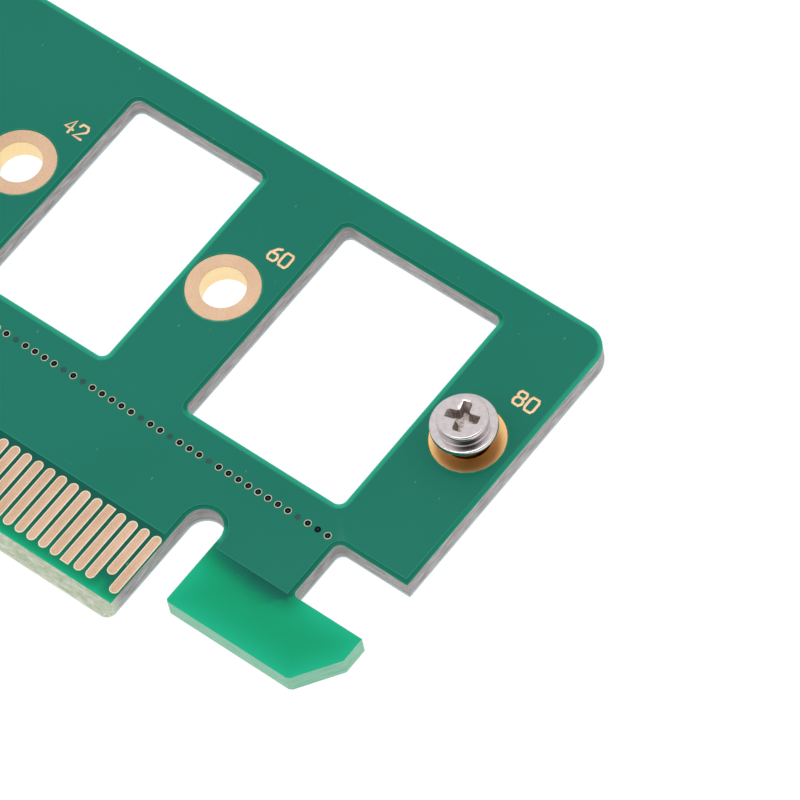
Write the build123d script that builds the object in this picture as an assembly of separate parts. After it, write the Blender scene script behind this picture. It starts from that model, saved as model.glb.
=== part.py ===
from build123d import *
import os

# Adapter card that holds a storage module in a 16-lane card-edge slot. All sizes are in millimetres.
# The sizes below are in the card's own frame: X runs along the card towards the hook, Y across it away
# from the edge contacts and Z out of the front face. The module's contact edge is at X = 0, the screw
# holes are on Y = 0 and the front face of the bare board is at Z = 0.

# Board outline
laminate_thickness = 1.52
card_left = -19.5
card_right = 84.0
card_top = 11.25
body_bottom = -10.88
outer_corner_radius = 2.0

# Tongue with the edge contacts
contact_pitch = 1.0
contact_width = 0.72
contact_length = 5.0
short_contact_length = 4.0
short_contacts = (17, 31, 48, 81)
square_contacts = (78,)
short_back_contacts = (1,)
contact_end_share = 0.29
last_contact_x = 68.48
contacts_top = -17.13
contacts_before_key = 11
contacts_in_all = 82
key_gap = 3.0
key_width = 1.9
key_depth = 8.25
key_to_tongue_end = 12.15
last_contact_to_edge = 0.48
tongue_below_contacts = 1.36
tongue_corner_radius = 0.4
bevel_run = 0.74
bevel_drop = 0.57

# Notch, neck and hook tab
notch_width = 2.79
notch_top = -13.62
neck_width = 6.57
neck_corner_radius = 0.6
tab_neck_radius = 0.4
tab_top = -15.6
tab_height = 4.97
tab_slant_run = 2.15
tab_slant_rise = 3.07
tab_corner_cut = 0.15

# Routed windows between the screw holes
window_radius = 0.6
window_top = 8.45
window_bottom = -8.75
window_1_left = 45.68
window_1_right = 56.91
window_2_left = 63.73
window_2_right = 76.88

# Copper and solder mask
copper_thickness = 0.04
pour_inset = 0.3
pour_to_contacts = 0.32
pour_past_tab_top = 0.15
mask_opening = 0.03
hidden_circle_sides = 8
seen_circle_sides = 20

# Plated screw holes, one for each module length
hole_xs = {"42": 42.3, "60": 60.0, "80": 80.52}
hole_radius = 1.6
plating_thickness = 0.05
ring_radius = 2.6
drilled_hole_sides = 24
drill_clearance = 0.01

# Row of stitching vias
via_pitch = 0.825
via_ring_radius = 0.28
via_ring_height = 0.015
via_count = 36
via_sides = 6
tented_vias = (4, 13, 17, 20, 26, 28, 33)
via_inset_from_neck = 0.83
via_y = -10.9

# Standoff bush and module screw
standoff_height = 1.5
bush_radius = 1.5
bush_head_radius = 2.5
bush_head_height = 0.8
bush_chamfer = 0.15
bush_shift = (-0.06, -0.05)
thread_radius = 1.0
thread_clearance = 0.03
shank_length = 3.0
flange_radius = 2.27
flange_thickness = 0.42
head_radius = 1.72
head_height = 0.85
head_edge_chamfer = 0.12
recess_span = 2.3
recess_arm_width = 0.66
recess_corner_chamfer = 0.26
recess_depth = 0.8
recess_taper = 9
recess_turn = 17

# Module socket
module_thickness = 0.8
socket_rear = -3.9
socket_front = 2.6
socket_height = 3.2
socket_corner_cut = 0.25
slot_past_pins = 0.7
slot_end_wall = 0.9
slot_back = -0.3
slot_room_below = 0.1
slot_room_above = 0.15
upper_lip_setback = 1.1
upper_wall = 0.5
lower_wall = 0.7
key_rib_y = -6.125
key_rib_width = 0.9
peg_x = -2.3
peg_y = 8.5
peg_radii = (0.8, 0.55)
peg_length = 1.2
peg_clearance = 0.05
pin_pitch = 0.5
pin_width = 0.2
pin_thickness = 0.12
pin_side_room = 0.03
pin_foot_length = 0.7
pin_arm_above_slot = 0.1
pin_tip_from_slot_back = 1.2
lower_arm_from_slot_back = 0.6
lower_arm_below_module = 0.05
solder_thickness = 0.02
upper_pin_count = 38
lower_pin_count = upper_pin_count - 1
key_pin_count = 4
hold_down_width = 0.8
hold_down_height = 1.3
hold_down_foot = 0.8
hold_down_thickness = 0.2
hold_down_from_pins = 0.6

# Chip parts near the socket, each given as length, width and height
bulk_capacitor_size = (3.2, 1.6, 1.4)
bypass_capacitor_size = (1.6, 0.8, 0.8)
resistor_size = (1.6, 0.8, 0.45)
lamp_size = (2.0, 1.25, 0.35)
lamp_lens_size = (1.2, 1.1, 0.45)
chip_end_share = 0.2
chip_end_overhang = 0.03
chip_x = -11.5
bulk_capacitor_ys = (7.4, 4.2)
bypass_capacitor_ys = (1.6, -0.4)
resistor_ys = (-2.4, -4.4)
lamp_y = -7.4

# Levels and places worked out from the sizes above
board_back = -laminate_thickness
front_level = copper_thickness
back_level = board_back - copper_thickness
seat_level = front_level + solder_thickness
all_contacts = range(1, contacts_in_all + 1)
tongue_right = last_contact_x + last_contact_to_edge
tongue_tip = contacts_top - contact_length - tongue_below_contacts
first_contact_after_key = contacts_before_key + 1
after_key_x = last_contact_x - (contacts_in_all - first_contact_after_key) * contact_pitch
key_x = after_key_x - key_gap / 2
tongue_left = key_x - key_to_tongue_end
notch_right = tongue_right + notch_width
notch_radius = notch_width / 2
notch_centre = Vector(tongue_right + notch_radius, notch_top - notch_radius)
neck_right = notch_right + neck_width
tab_bottom = tab_top - tab_height
card_middle = Vector((card_left + card_right) / 2, (tongue_tip + card_top) / 2)
card_lowest = back_level - bush_head_height


# Small helpers used by many pieces

def area(x0, y0, x1, y1):
    """A rectangle between two corners."""
    return Pos((x0 + x1) / 2, (y0 + y1) / 2) * Rectangle(abs(x1 - x0), abs(y1 - y0))


def block(x0, x1, y0, y1, z0, z1):
    """A box between two corners."""
    middle = Pos((x0 + x1) / 2, (y0 + y1) / 2, (z0 + z1) / 2)
    return middle * Box(abs(x1 - x0), abs(y1 - y0), abs(z1 - z0))


def layer(sketch, low, high):
    """A flat sketch made solid between two levels."""
    return Pos(0, 0, low) * extrude(sketch, high - low)


def flat_sided_circle(radius, sides=hidden_circle_sides):
    """A circle drawn as flats around it, which keeps the facets few. One flat faces each axis."""
    return RegularPolygon(radius, sides, major_radius=False, rotation=180 / sides)


def corners_at(sketch, places):
    """The sketch's corners that lie at the places."""
    near = 0.01
    return [v for v in sketch.vertices() if any((Vector(v) - Vector(*p)).length < near for p in places)]


def round_corners(sketch, places, radius):
    return fillet(corners_at(sketch, places), radius)


def strip(profile, width, y):
    """A bent strip: a closed profile in X and Z, made solid across Y."""
    face = make_face(Plane.XZ * Polyline(*profile, close=True))
    return Pos(0, y, 0) * extrude(face, width / 2, both=True)


# The board

def window(left, right, grow=0.0):
    """One routed window, or the edge of the copper round it."""
    width = right - left + 2 * grow
    height = window_top - window_bottom + 2 * grow
    middle = Pos((left + right) / 2, (window_top + window_bottom) / 2)
    return middle * RectangleRounded(width, height, window_radius + grow)


def windows(grow=0.0):
    return window(window_1_left, window_1_right, grow) + window(window_2_left, window_2_right, grow)


def key_slot(grow=0.0):
    """The key slot in the tongue, with a round end."""
    top = tongue_tip + key_depth
    radius = key_width / 2 + grow
    arc_y = top - key_width / 2
    round_end = flat_sided_circle(radius, seen_circle_sides)
    return area(key_x - radius, tongue_tip - 1, key_x + radius, arc_y) + Pos(key_x, arc_y) * round_end


def board_outline():
    """The routed outline with its notch, neck and hook tab, and all its corners rounded."""
    before_notch = Polyline(
        (tongue_right, notch_centre.Y),
        (tongue_right, tongue_tip),
        (tongue_left, tongue_tip),
        (tongue_left, body_bottom),
        (card_left, body_bottom),
        (card_left, card_top),
        (card_right, card_top),
        (card_right, body_bottom),
        (neck_right, body_bottom),
        (neck_right, tab_top),
        (card_right, tab_top),
        (card_right, tab_bottom + tab_slant_rise),
        (card_right - tab_slant_run, tab_bottom),
        (notch_right, tab_bottom),
        (notch_right, notch_centre.Y),
    )
    notch_top_arc = ThreePointArc(
        (notch_right, notch_centre.Y), (notch_centre.X, notch_top), (tongue_right, notch_centre.Y)
    )
    outline = make_face(Curve() + [before_notch, notch_top_arc])
    outline = round_corners(outline, [(card_left, card_top), (card_right, card_top)], outer_corner_radius)
    tongue_corners = [(tongue_left, tongue_tip), (tongue_right, tongue_tip)]
    outline = round_corners(outline, tongue_corners, tongue_corner_radius)
    inner_corners = [(tongue_left, body_bottom), (neck_right, body_bottom)]
    outline = round_corners(outline, inner_corners, neck_corner_radius)
    outline = round_corners(outline, [(neck_right, tab_top)], tab_neck_radius)
    tab_corners = [(notch_right, tab_bottom), (card_right - tab_slant_run, tab_bottom)]
    return chamfer(corners_at(outline, tab_corners), tab_corner_cut)


def pegs(extra=0.0):
    """The two locating pegs of the socket, one larger than the other, or the holes that take them."""
    big, small = [flat_sided_circle(radius + extra) for radius in peg_radii]
    return Pos(peg_x, peg_y) * big + Pos(peg_x, -peg_y) * small


def tip_bevel(face_level, towards):
    """The wedge that bevels one face of the tongue's tip."""
    past = 1.0
    slope = bevel_drop / bevel_run
    profile = [
        (tongue_tip + bevel_run, face_level),
        (tongue_tip - past, face_level + towards * slope * (bevel_run + past)),
        (tongue_tip - past, face_level),
    ]
    face = make_face(Plane.YZ * Polyline(*profile, close=True))
    half_length = (tongue_right - tongue_left) / 2 + past
    return Pos((tongue_left + tongue_right) / 2, 0, 0) * extrude(face, half_length, both=True)


def board_laminate():
    drill = flat_sided_circle(hole_radius + plating_thickness + drill_clearance, drilled_hole_sides)
    drilled = [Pos(x, 0) * drill for x in hole_xs.values()]
    sketch = board_outline() - windows() - key_slot() - pegs(peg_clearance) - drilled
    board = layer(sketch, board_back, 0)
    return board - tip_bevel(0, -1) - tip_bevel(board_back, 1)


# Copper and solder mask

def pour_area():
    """Where the copper lies under the mask: short of every edge, and off the contacts and the tab."""
    inset = pour_inset
    tongue_end = contacts_top + pour_to_contacts
    neck_end = tab_top - pour_past_tab_top
    arc_radius = notch_radius + inset
    before_notch = Polyline(
        (tongue_right - inset, notch_centre.Y),
        (tongue_right - inset, tongue_end),
        (tongue_left + inset, tongue_end),
        (tongue_left + inset, body_bottom + inset),
        (card_left + inset, body_bottom + inset),
        (card_left + inset, card_top - inset),
        (card_right - inset, card_top - inset),
        (card_right - inset, body_bottom + inset),
        (neck_right - inset, body_bottom + inset),
        (neck_right - inset, neck_end),
        (notch_right + inset, neck_end),
        (notch_right + inset, notch_centre.Y),
    )
    notch_top_arc = ThreePointArc(
        (notch_right + inset, notch_centre.Y),
        (notch_centre.X, notch_centre.Y + arc_radius),
        (tongue_right - inset, notch_centre.Y),
    )
    outline = make_face(Curve() + [before_notch, notch_top_arc])
    top_corners = [(card_left + inset, card_top - inset), (card_right - inset, card_top - inset)]
    outline = round_corners(outline, top_corners, outer_corner_radius - inset)
    inner_corners = [(tongue_left + inset, body_bottom + inset), (neck_right - inset, body_bottom + inset)]
    outline = round_corners(outline, inner_corners, neck_corner_radius + inset)
    ring_opening = flat_sided_circle(ring_radius + mask_opening, seen_circle_sides)
    rings = [Pos(x, 0) * ring_opening for x in hole_xs.values()]
    return outline - windows(inset) - key_slot(inset) - pegs(peg_clearance) - rings


def contact_x(number):
    """Where an edge contact lies. The key gap comes after the first eleven."""
    steps = contacts_in_all - number
    gap = key_gap - contact_pitch if number <= contacts_before_key else 0
    return last_contact_x - steps * contact_pitch - gap


def edge_contacts(short_ones, square_ones, low, high):
    """One row of edge contacts. The ends are cut close to round, apart from those of the square ones."""
    solids = []
    for number in all_contacts:
        length = short_contact_length if number in short_ones else contact_length
        middle = Pos(contact_x(number), contacts_top - length / 2)
        shape = Rectangle(contact_width, length)
        if number not in square_ones:
            shape = chamfer(shape.vertices(), contact_width * contact_end_share)
        solids.append(layer(middle * shape, low, high))
    return Compound(children=solids)


def plated_hole(x):
    """A gold ring on each face, joined by the plated wall of the hole."""
    outer = flat_sided_circle(hole_radius + plating_thickness, drilled_hole_sides)
    wall = layer(outer - Circle(hole_radius), back_level, front_level)
    ring = flat_sided_circle(ring_radius, seen_circle_sides) - Circle(hole_radius)
    return Pos(x, 0, 0) * (wall + layer(ring, 0, front_level) + layer(ring, back_level, board_back))


def stitching_vias():
    """The row of filled vias that ends near the neck's right edge. Mask covers a few of them."""
    via = RegularPolygon(via_ring_radius, via_sides)
    last_x = neck_right - via_inset_from_neck
    bare = [number for number in range(1, via_count + 1) if number not in tented_vias]
    places = [last_x - (number - 1) * via_pitch for number in bare]
    top = front_level + via_ring_height
    return Compound(children=[layer(Pos(x, via_y) * via, front_level, top) for x in places])


# Standoff bush and screw

def bush_axis():
    """The bush lies to one side of its hole, by a little less than its play there."""
    shift_x, shift_y = bush_shift
    return Pos(hole_xs["80"] + shift_x, shift_y, 0)


def standoff_bush():
    barrel = layer(flat_sided_circle(bush_radius, seen_circle_sides), back_level, standoff_height)
    head = layer(Circle(bush_head_radius), card_lowest, back_level)
    head = chamfer(head.edges().group_by(Axis.Z)[0], bush_chamfer)
    bore = layer(flat_sided_circle(thread_radius), card_lowest, standoff_height)
    return bush_axis() * (barrel + head - bore)


def cross_recess():
    """The tapered cross that a driver fits, with its inner corners cut off."""
    arm = Rectangle(recess_span, recess_arm_width)
    cross = arm + Rot(0, 0, 90) * arm
    inner = [v for v in cross.vertices() if Vector(v).length < recess_arm_width]
    cross = chamfer(inner, recess_corner_chamfer)
    return extrude(cross, -recess_depth, taper=recess_taper)


def module_screw():
    flange_top = standoff_height + flange_thickness
    head_top = flange_top + head_height
    flange = layer(Circle(flange_radius), standoff_height, flange_top)
    head = layer(Circle(head_radius), flange_top, head_top)
    head = chamfer(head.edges().group_by(Axis.Z)[-1], head_edge_chamfer)
    shank = flat_sided_circle(thread_radius - thread_clearance)
    shank = layer(shank, standoff_height - shank_length, standoff_height)
    recess = Pos(0, 0, head_top) * Rot(0, 0, recess_turn) * cross_recess()
    return bush_axis() * (flange + head + shank - recess)


# Module socket

slot_floor = standoff_height - slot_room_below
slot_ceiling = standoff_height + module_thickness + slot_room_above
arm_low = slot_ceiling + pin_arm_above_slot
arm_high = arm_low + pin_thickness
upper_riser_x = socket_rear + upper_wall
upper_tip_x = slot_back + pin_tip_from_slot_back
lower_riser_x = socket_front - lower_wall
lower_arm_end = slot_back + lower_arm_from_slot_back
lower_arm_top = standoff_height - lower_arm_below_module
half_row = ((upper_pin_count - 1) * pin_pitch + pin_width) / 2
half_slot = half_row + slot_past_pins
half_socket = half_slot + slot_end_wall
hold_down_y = half_row + hold_down_from_pins + hold_down_width / 2


def pin_ys(count):
    """Where the strips of one row lie, without those that the key rib displaces."""
    ys = [(step - (count - 1) / 2) * pin_pitch for step in range(count)]
    half_key = key_pin_count * pin_pitch / 2
    return [y for y in ys if abs(y - key_rib_y) >= half_key]


def socket_housing():
    """The moulding: a slot with a key rib, and a chamber for each row of strips."""
    room = pin_side_room
    half = half_row + room
    under = front_level - 1
    ahead = socket_front + 1
    feet_high = seat_level + pin_thickness + room

    body = block(socket_rear, socket_front, -half_socket, half_socket, front_level, socket_height)
    body = chamfer(body.edges().filter_by(Axis.Z), socket_corner_cut)
    slot = block(slot_back, ahead, -half_slot, half_slot, slot_floor, slot_ceiling)
    rib_low = key_rib_y - key_rib_width / 2
    rib = block(slot_back, socket_front, rib_low, rib_low + key_rib_width, slot_floor, slot_ceiling)
    lip = block(socket_front - upper_lip_setback, ahead, -half_slot, half_slot, slot_floor, socket_height + 1)

    riser_end = upper_riser_x + pin_thickness + room
    arm_end = upper_tip_x + room
    upper_arms = block(upper_riser_x - room, arm_end, -half, half, slot_ceiling, arm_high + room)
    upper_risers = block(upper_riser_x - room, riser_end, -half, half, under, arm_high)
    upper_feet = block(socket_rear - 1, riser_end, -half, half, under, feet_high)
    upper_chamber = upper_arms + upper_risers + upper_feet

    lower_end = lower_riser_x + pin_thickness + room
    lower_arms = block(lower_arm_end - room, lower_end, -half, half, under, slot_floor)
    lower_feet = block(lower_riser_x, ahead, -half, half, under, feet_high)

    moulding = body - (slot - rib) - lip - upper_chamber - lower_arms - lower_feet
    return moulding + layer(pegs(), front_level - peg_length, front_level)


def upper_strip(y):
    """A strip of the upper row: foot behind the socket, riser, and an arm that slopes into the slot."""
    foot_end = socket_rear - pin_foot_length
    foot_top = seat_level + pin_thickness
    inner = upper_riser_x + pin_thickness
    profile = [
        (foot_end, seat_level),
        (inner, seat_level),
        (inner, arm_low),
        (upper_tip_x, slot_ceiling - pin_side_room),
        (upper_tip_x, arm_high),
        (upper_riser_x, arm_high),
        (upper_riser_x, foot_top),
        (foot_end, foot_top),
    ]
    return strip(profile, pin_width, y)


def lower_strip(y):
    """A strip of the lower row: foot in front of the socket, riser, and an arm in the slot's floor."""
    foot_end = socket_front + pin_foot_length
    foot_top = seat_level + pin_thickness
    profile = [
        (foot_end, seat_level),
        (lower_riser_x, seat_level),
        (lower_riser_x, lower_arm_top - pin_thickness),
        (lower_arm_end, lower_arm_top - pin_thickness),
        (lower_arm_end, lower_arm_top),
        (lower_riser_x + pin_thickness, lower_arm_top),
        (lower_riser_x + pin_thickness, foot_top),
        (foot_end, foot_top),
    ]
    return strip(profile, pin_width, y)


def hold_down(y):
    """A folded tab: soldered foot on the board, upright against the housing."""
    foot_end = socket_rear - hold_down_foot
    wall = socket_rear - hold_down_thickness
    foot_top = seat_level + hold_down_thickness
    profile = [
        (foot_end, seat_level),
        (socket_rear, seat_level),
        (socket_rear, seat_level + hold_down_height),
        (wall, seat_level + hold_down_height),
        (wall, foot_top),
        (foot_end, foot_top),
    ]
    return strip(profile, hold_down_width, y)


# Chip parts

def chip_body(size, y):
    """The middle of a chip part, between its two metal ends."""
    length, width, height = size
    half = length * (0.5 - chip_end_share)
    side = width / 2 - chip_end_overhang
    low = seat_level + chip_end_overhang
    high = seat_level + height - chip_end_overhang
    return block(chip_x - half, chip_x + half, y - side, y + side, low, high)


def chip_ends(size, y):
    length, width, height = size
    inner = length * (0.5 - chip_end_share)
    outer = length / 2
    ends = []
    for side in (-1, 1):
        x0 = chip_x + side * inner
        x1 = chip_x + side * outer
        ends.append(block(x0, x1, y - width / 2, y + width / 2, seat_level, seat_level + height))
    return ends


def chips(size, ys):
    """A group of like chip parts, as their bodies and their ends."""
    bodies = [chip_body(size, y) for y in ys]
    ends = [end for y in ys for end in chip_ends(size, y)]
    return Compound(children=bodies), Compound(children=ends)


def lamp_lens():
    length, width, height = lamp_lens_size
    x0 = chip_x - length / 2
    y0 = lamp_y - width / 2
    low = seat_level + lamp_size[2] - chip_end_overhang
    lens = block(x0, x0 + length, y0, y0 + width, low, low + height)
    return chamfer(lens.edges().group_by(Axis.Z)[-1], height / 3)


# Every node, in the order that the card is put together
bulk_bodies, bulk_ends = chips(bulk_capacitor_size, bulk_capacitor_ys)
bypass_bodies, bypass_ends = chips(bypass_capacitor_size, bypass_capacitor_ys)
resistor_bodies, resistor_ends = chips(resistor_size, resistor_ys)
lamp_base, lamp_ends = chips(lamp_size, (lamp_y,))

nodes = {
    "board_laminate": board_laminate(),
    "front_mask": layer(pour_area(), 0, front_level),
    "back_mask": layer(pour_area(), back_level, board_back),
    "front_contacts": edge_contacts(short_contacts, square_contacts, 0, front_level),
    "back_contacts": edge_contacts(short_back_contacts, all_contacts, back_level, board_back),
    "stitching_vias": stitching_vias(),
    "standoff_bush": standoff_bush(),
    "module_screw": module_screw(),
    "socket_housing": socket_housing(),
    "socket_upper_contacts": Compound(children=[upper_strip(y) for y in pin_ys(upper_pin_count)]),
    "socket_lower_contacts": Compound(children=[lower_strip(y) for y in pin_ys(lower_pin_count)]),
    "socket_hold_downs": Compound(children=[hold_down(side * hold_down_y) for side in (-1, 1)]),
    "bulk_capacitor_bodies": bulk_bodies,
    "bulk_capacitor_ends": bulk_ends,
    "bypass_capacitor_bodies": bypass_bodies,
    "bypass_capacitor_ends": bypass_ends,
    "resistor_bodies": resistor_bodies,
    "resistor_ends": resistor_ends,
    "lamp_base": lamp_base,
    "lamp_ends": lamp_ends,
    "lamp_lens": lamp_lens(),
}
for name, x in hole_xs.items():
    nodes["plated_hole_" + name] = plated_hole(x)

# The part's origin is the middle of the card's box, on the surface that the card lies on.
to_part_frame = Pos(-card_middle.X, -card_middle.Y, -card_lowest)
os.makedirs("parts", exist_ok=True)
for name, shape in nodes.items():
    export_step(to_part_frame * shape, "parts/" + name + ".step")
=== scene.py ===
import math

import bmesh
import bpy
from mathutils import Matrix, Vector
from mathutils.kdtree import KDTree


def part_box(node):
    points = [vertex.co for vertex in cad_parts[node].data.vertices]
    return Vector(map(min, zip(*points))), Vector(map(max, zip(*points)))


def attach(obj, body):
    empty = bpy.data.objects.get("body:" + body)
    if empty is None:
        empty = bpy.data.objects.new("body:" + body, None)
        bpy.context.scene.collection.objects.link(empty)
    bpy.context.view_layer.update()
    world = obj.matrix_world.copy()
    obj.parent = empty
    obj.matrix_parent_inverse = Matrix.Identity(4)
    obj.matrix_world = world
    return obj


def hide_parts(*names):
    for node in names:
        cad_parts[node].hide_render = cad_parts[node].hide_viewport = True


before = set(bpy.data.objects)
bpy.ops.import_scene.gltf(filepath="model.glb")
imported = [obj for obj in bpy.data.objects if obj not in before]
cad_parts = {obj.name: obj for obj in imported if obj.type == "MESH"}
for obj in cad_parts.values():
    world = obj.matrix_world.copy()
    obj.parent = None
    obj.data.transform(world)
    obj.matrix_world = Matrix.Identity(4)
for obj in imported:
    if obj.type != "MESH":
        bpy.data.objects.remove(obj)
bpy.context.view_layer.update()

# The stage
# A white light table in a white room, dark on the camera's side, under one soft box. Each place here and
# below is in the card's own frame, in millimetres: x from the module's contact edge towards the hook, y from
# the line of the screw holes, and z from the board's front face.
MM = 0.001
MODULE_EDGE_TO_HOOK_END = 84.0
HOLE_LINE_TO_TOP = 11.25
VIEW_CENTRE = (75.08, -0.22, 0.0)
VIEW_DISTANCE = 416.8
VIEW_AZIMUTH = -41.47
VIEW_ELEVATION = 58.34
VIEW_ROLL = -12.34
LENS = 288.28
SENSOR_WIDTH = 36
FLOOR_SIZE = 3000
FLOOR_GLOW = 1.0
ROOM_STRENGTH = 0.85
DARK_SIDE_ANGLE = 14
ROOM_SIDE_ANGLE = 40
OPAL_GRAIN = 1.1111
SOFT_BOX_SIZE = 350
SOFT_BOX_DISTANCE = 900
SOFT_BOX_WATTS = 1.5

board_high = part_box("board_laminate")[1]
card_origin = board_high - Vector((MODULE_EDGE_TO_HOOK_END * MM, HOLE_LINE_TO_TOP * MM, 0))


def on_card(x, y, z=0.0):
    """A place on the card, in metres in the frame's own coordinates."""
    return card_origin + Vector((x, y, z)) * MM


def direction(azimuth, elevation):
    a, e = math.radians(azimuth), math.radians(elevation)
    return Vector((math.cos(e) * math.cos(a), math.cos(e) * math.sin(a), math.sin(e)))


def linear(hex_colour):
    """A screen colour such as #RRGGBB, turned to the linear values that a shader takes."""
    channels = [int(hex_colour[i:i + 2], 16) / 255 for i in (1, 3, 5)]
    return [c / 12.92 if c <= 0.04045 else ((c + 0.055) / 1.055) ** 2.4 for c in channels] + [1.0]


def add_node(tree, kind, settings=None, links=None, stops=()):
    """Adds a node with its properties, its sockets by name or number, its ramp's stops and its links."""
    node = tree.nodes.new("ShaderNode" + kind)
    for name, value in (settings or {}).items():
        if isinstance(name, int) or name in node.inputs:
            node.inputs[name].default_value = value
        else:
            setattr(node, name, value)
    for index, (position, hex_colour) in enumerate(stops):
        elements = node.color_ramp.elements
        element = elements[index] if index < len(elements) else elements.new(position)
        element.position = position
        element.color = linear(hex_colour)
    for name, source in (links or {}).items():
        socket = source.outputs[0] if isinstance(source, bpy.types.Node) else source
        tree.links.new(socket, node.inputs[name])
    return node


def new_material(name):
    """An empty node material, with the piece's own coordinates ready."""
    material = bpy.data.materials.new(name)
    material.use_nodes = True
    material.node_tree.nodes.clear()
    tree = material.node_tree
    return material, tree, add_node(tree, "TexCoord").outputs["Object"]


def close_material(tree, settings, links):
    """Gives a material its surface, which is the last step of each."""
    shader = add_node(tree, "BsdfPrincipled", settings, links)
    add_node(tree, "OutputMaterial", links={"Surface": shader})


def finished_mesh(name, shape):
    mesh = bpy.data.meshes.new(name)
    shape.to_mesh(mesh)
    shape.free()
    return mesh


def add_object(name, data):
    thing = bpy.data.objects.new(name, data)
    bpy.context.scene.collection.objects.link(thing)
    return thing


def build_stage():
    shape = bmesh.new()
    bmesh.ops.create_grid(shape, x_segments=1, y_segments=1, size=FLOOR_SIZE * MM / 2)
    floor = add_object("light_table", finished_mesh("light_table", shape))
    opal, tree, place = new_material("opal sheet lit from below")
    grain = add_node(tree, "TexNoise", {"Scale": 1 / (OPAL_GRAIN * MM), "Detail": 2.0}, {"Vector": place})
    shade = add_node(tree, "ValToRGB", links={"Fac": grain}, stops=[(0.3, "#FEFEFE"), (0.7, "#FFFFFF")])
    close_material(tree, {"Base Color": linear("#404040"), "Roughness": 0.9, "Emission Strength": FLOOR_GLOW},
                   {"Emission Color": shade})
    floor.data.materials.append(opal)

    world = bpy.data.worlds.new("white_room")
    world.use_nodes = True
    tree = world.node_tree
    towards = add_node(tree, "TexCoord").outputs["Generated"]
    to_camera = direction(VIEW_AZIMUTH, VIEW_ELEVATION)
    camera_side = add_node(tree, "VectorMath", {"operation": "DOT_PRODUCT", 1: to_camera}, {0: towards})
    room_edge, dark_edge = [math.cos(math.radians(angle)) for angle in (ROOM_SIDE_ANGLE, DARK_SIDE_ANGLE)]
    wall = add_node(tree, "ValToRGB", links={"Fac": camera_side.outputs["Value"]},
                    stops=[(room_edge, "#FFFFFF"), (dark_edge, "#1A1A1A")])
    background = tree.nodes["Background"]
    background.inputs["Strength"].default_value = ROOM_STRENGTH
    tree.links.new(wall.outputs["Color"], background.inputs["Color"])
    bpy.context.scene.world = world
    bpy.context.scene.view_settings.view_transform = "Standard"


def add_soft_box(azimuth, elevation):
    """A square area light that faces the card."""
    light = bpy.data.lights.new("soft_box", "AREA")
    light.energy = SOFT_BOX_WATTS
    light.size = SOFT_BOX_SIZE * MM
    lamp = add_object("soft_box", light)
    towards = direction(azimuth, elevation)
    lamp.location = on_card(*VIEW_CENTRE) + towards * SOFT_BOX_DISTANCE * MM
    lamp.rotation_euler = towards.to_track_quat("Z", "Y").to_euler()


def add_camera():
    lens = bpy.data.cameras.new("macro_camera")
    lens.lens = LENS
    lens.sensor_width = SENSOR_WIDTH
    lens.clip_start = 0.01
    camera = add_object("macro_camera", lens)
    back = direction(VIEW_AZIMUTH, VIEW_ELEVATION)
    upright = back.to_track_quat("Z", "Y").to_matrix()
    turned = upright @ Matrix.Rotation(math.radians(VIEW_ROLL), 3, "Z")
    camera.location = on_card(*VIEW_CENTRE) + back * VIEW_DISTANCE * MM
    camera.rotation_euler = turned.to_euler()
    bpy.context.scene.camera = camera


build_stage()
add_soft_box(azimuth=139, elevation=79)
add_camera()


# The laminate
# One routed piece of woven glass and epoxy, 1.5 mm thick. Its milled walls show the cut ends of the cloth as
# fine grey layers, and the bevel and the tab's edge look creamy green, because light comes through.
LAMINATE_THICKNESS = 1.52
PLY_STREAK = (1.3, 1.3, 0.08)
BEVEL_STREAK = (0.6, 0.16, 0.16)
EDGE_BREAK = 0.03
PAINTED_UNDERLIGHT_HEIGHT = 0.28
WALL_GREYS = ("#7F7A7A", "#9F9A9A", "#B3B0AF", "#D0CECD")
PAINTED_UNDERLIGHT = "#BEDDEA"
CREAM_GREENS = ("#B7C4A6", "#CDD7BD", "#E6EBDF")
TAB_EDGE_GREENS = ("#76BD9C", "#8BCAAB", "#A8DAC0")
PAINTED_UNDERLIGHT_SHARE = 0.8
BEVEL_TOP_Y = -22.75
BEVEL_FADE = 0.9
TAB_TOP_Y = -15.55
TAB_LEFT_X = 71.45
RIM_ANGLE = 30
SAME_LEVEL = 1e-6


def smooth_by_area(piece, angle):
    """Rounds the shading where faces meet at less than an angle, and leaves wide flat faces flat."""
    piece.data.shade_smooth()
    piece.data.set_sharp_from_angle(angle=math.radians(angle))
    weighted = piece.modifiers.new("flat faces stay flat", "WEIGHTED_NORMAL")
    weighted.keep_sharp = True
    weighted.weight = 100


def new_piece(name, shape, material, smooth_angle=None):
    """Turns a finished bmesh into a piece that rides on the card."""
    piece = add_object(name, finished_mesh(name, shape))
    piece.data.materials.append(material)
    if smooth_angle is not None:
        smooth_by_area(piece, smooth_angle)
    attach(piece, "root")
    return piece


def merged_copy(node_name, flatten=True):
    """A CAD node's mesh as a bmesh with its loose triangles joined into whole faces."""
    shape = bmesh.new()
    shape.from_mesh(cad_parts[node_name].data)
    bmesh.ops.remove_doubles(shape, verts=shape.verts, dist=0.5e-6)
    if flatten:
        bmesh.ops.dissolve_limit(shape, angle_limit=math.radians(1), verts=shape.verts, edges=shape.edges)
    return shape


def rise(edge):
    return abs(edge.verts[0].co.z - edge.verts[1].co.z)


def sharp_edges(shape, angle):
    return [e for e in shape.edges if len(e.link_faces) == 2 and math.degrees(e.calc_face_angle(0)) > angle]


def bevel_edges(shape, edges, width, segments=2):
    bmesh.ops.bevel(shape, geom=list(edges), offset=width * MM, offset_type="OFFSET", segments=segments,
                    profile=0.5, affect="EDGES", material=-1, clamp_overlap=True)


def scales(sizes):
    """What a Mapping node takes so that a pattern has these sizes in millimetres."""
    return [1 / (size * MM) for size in sizes]


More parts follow.
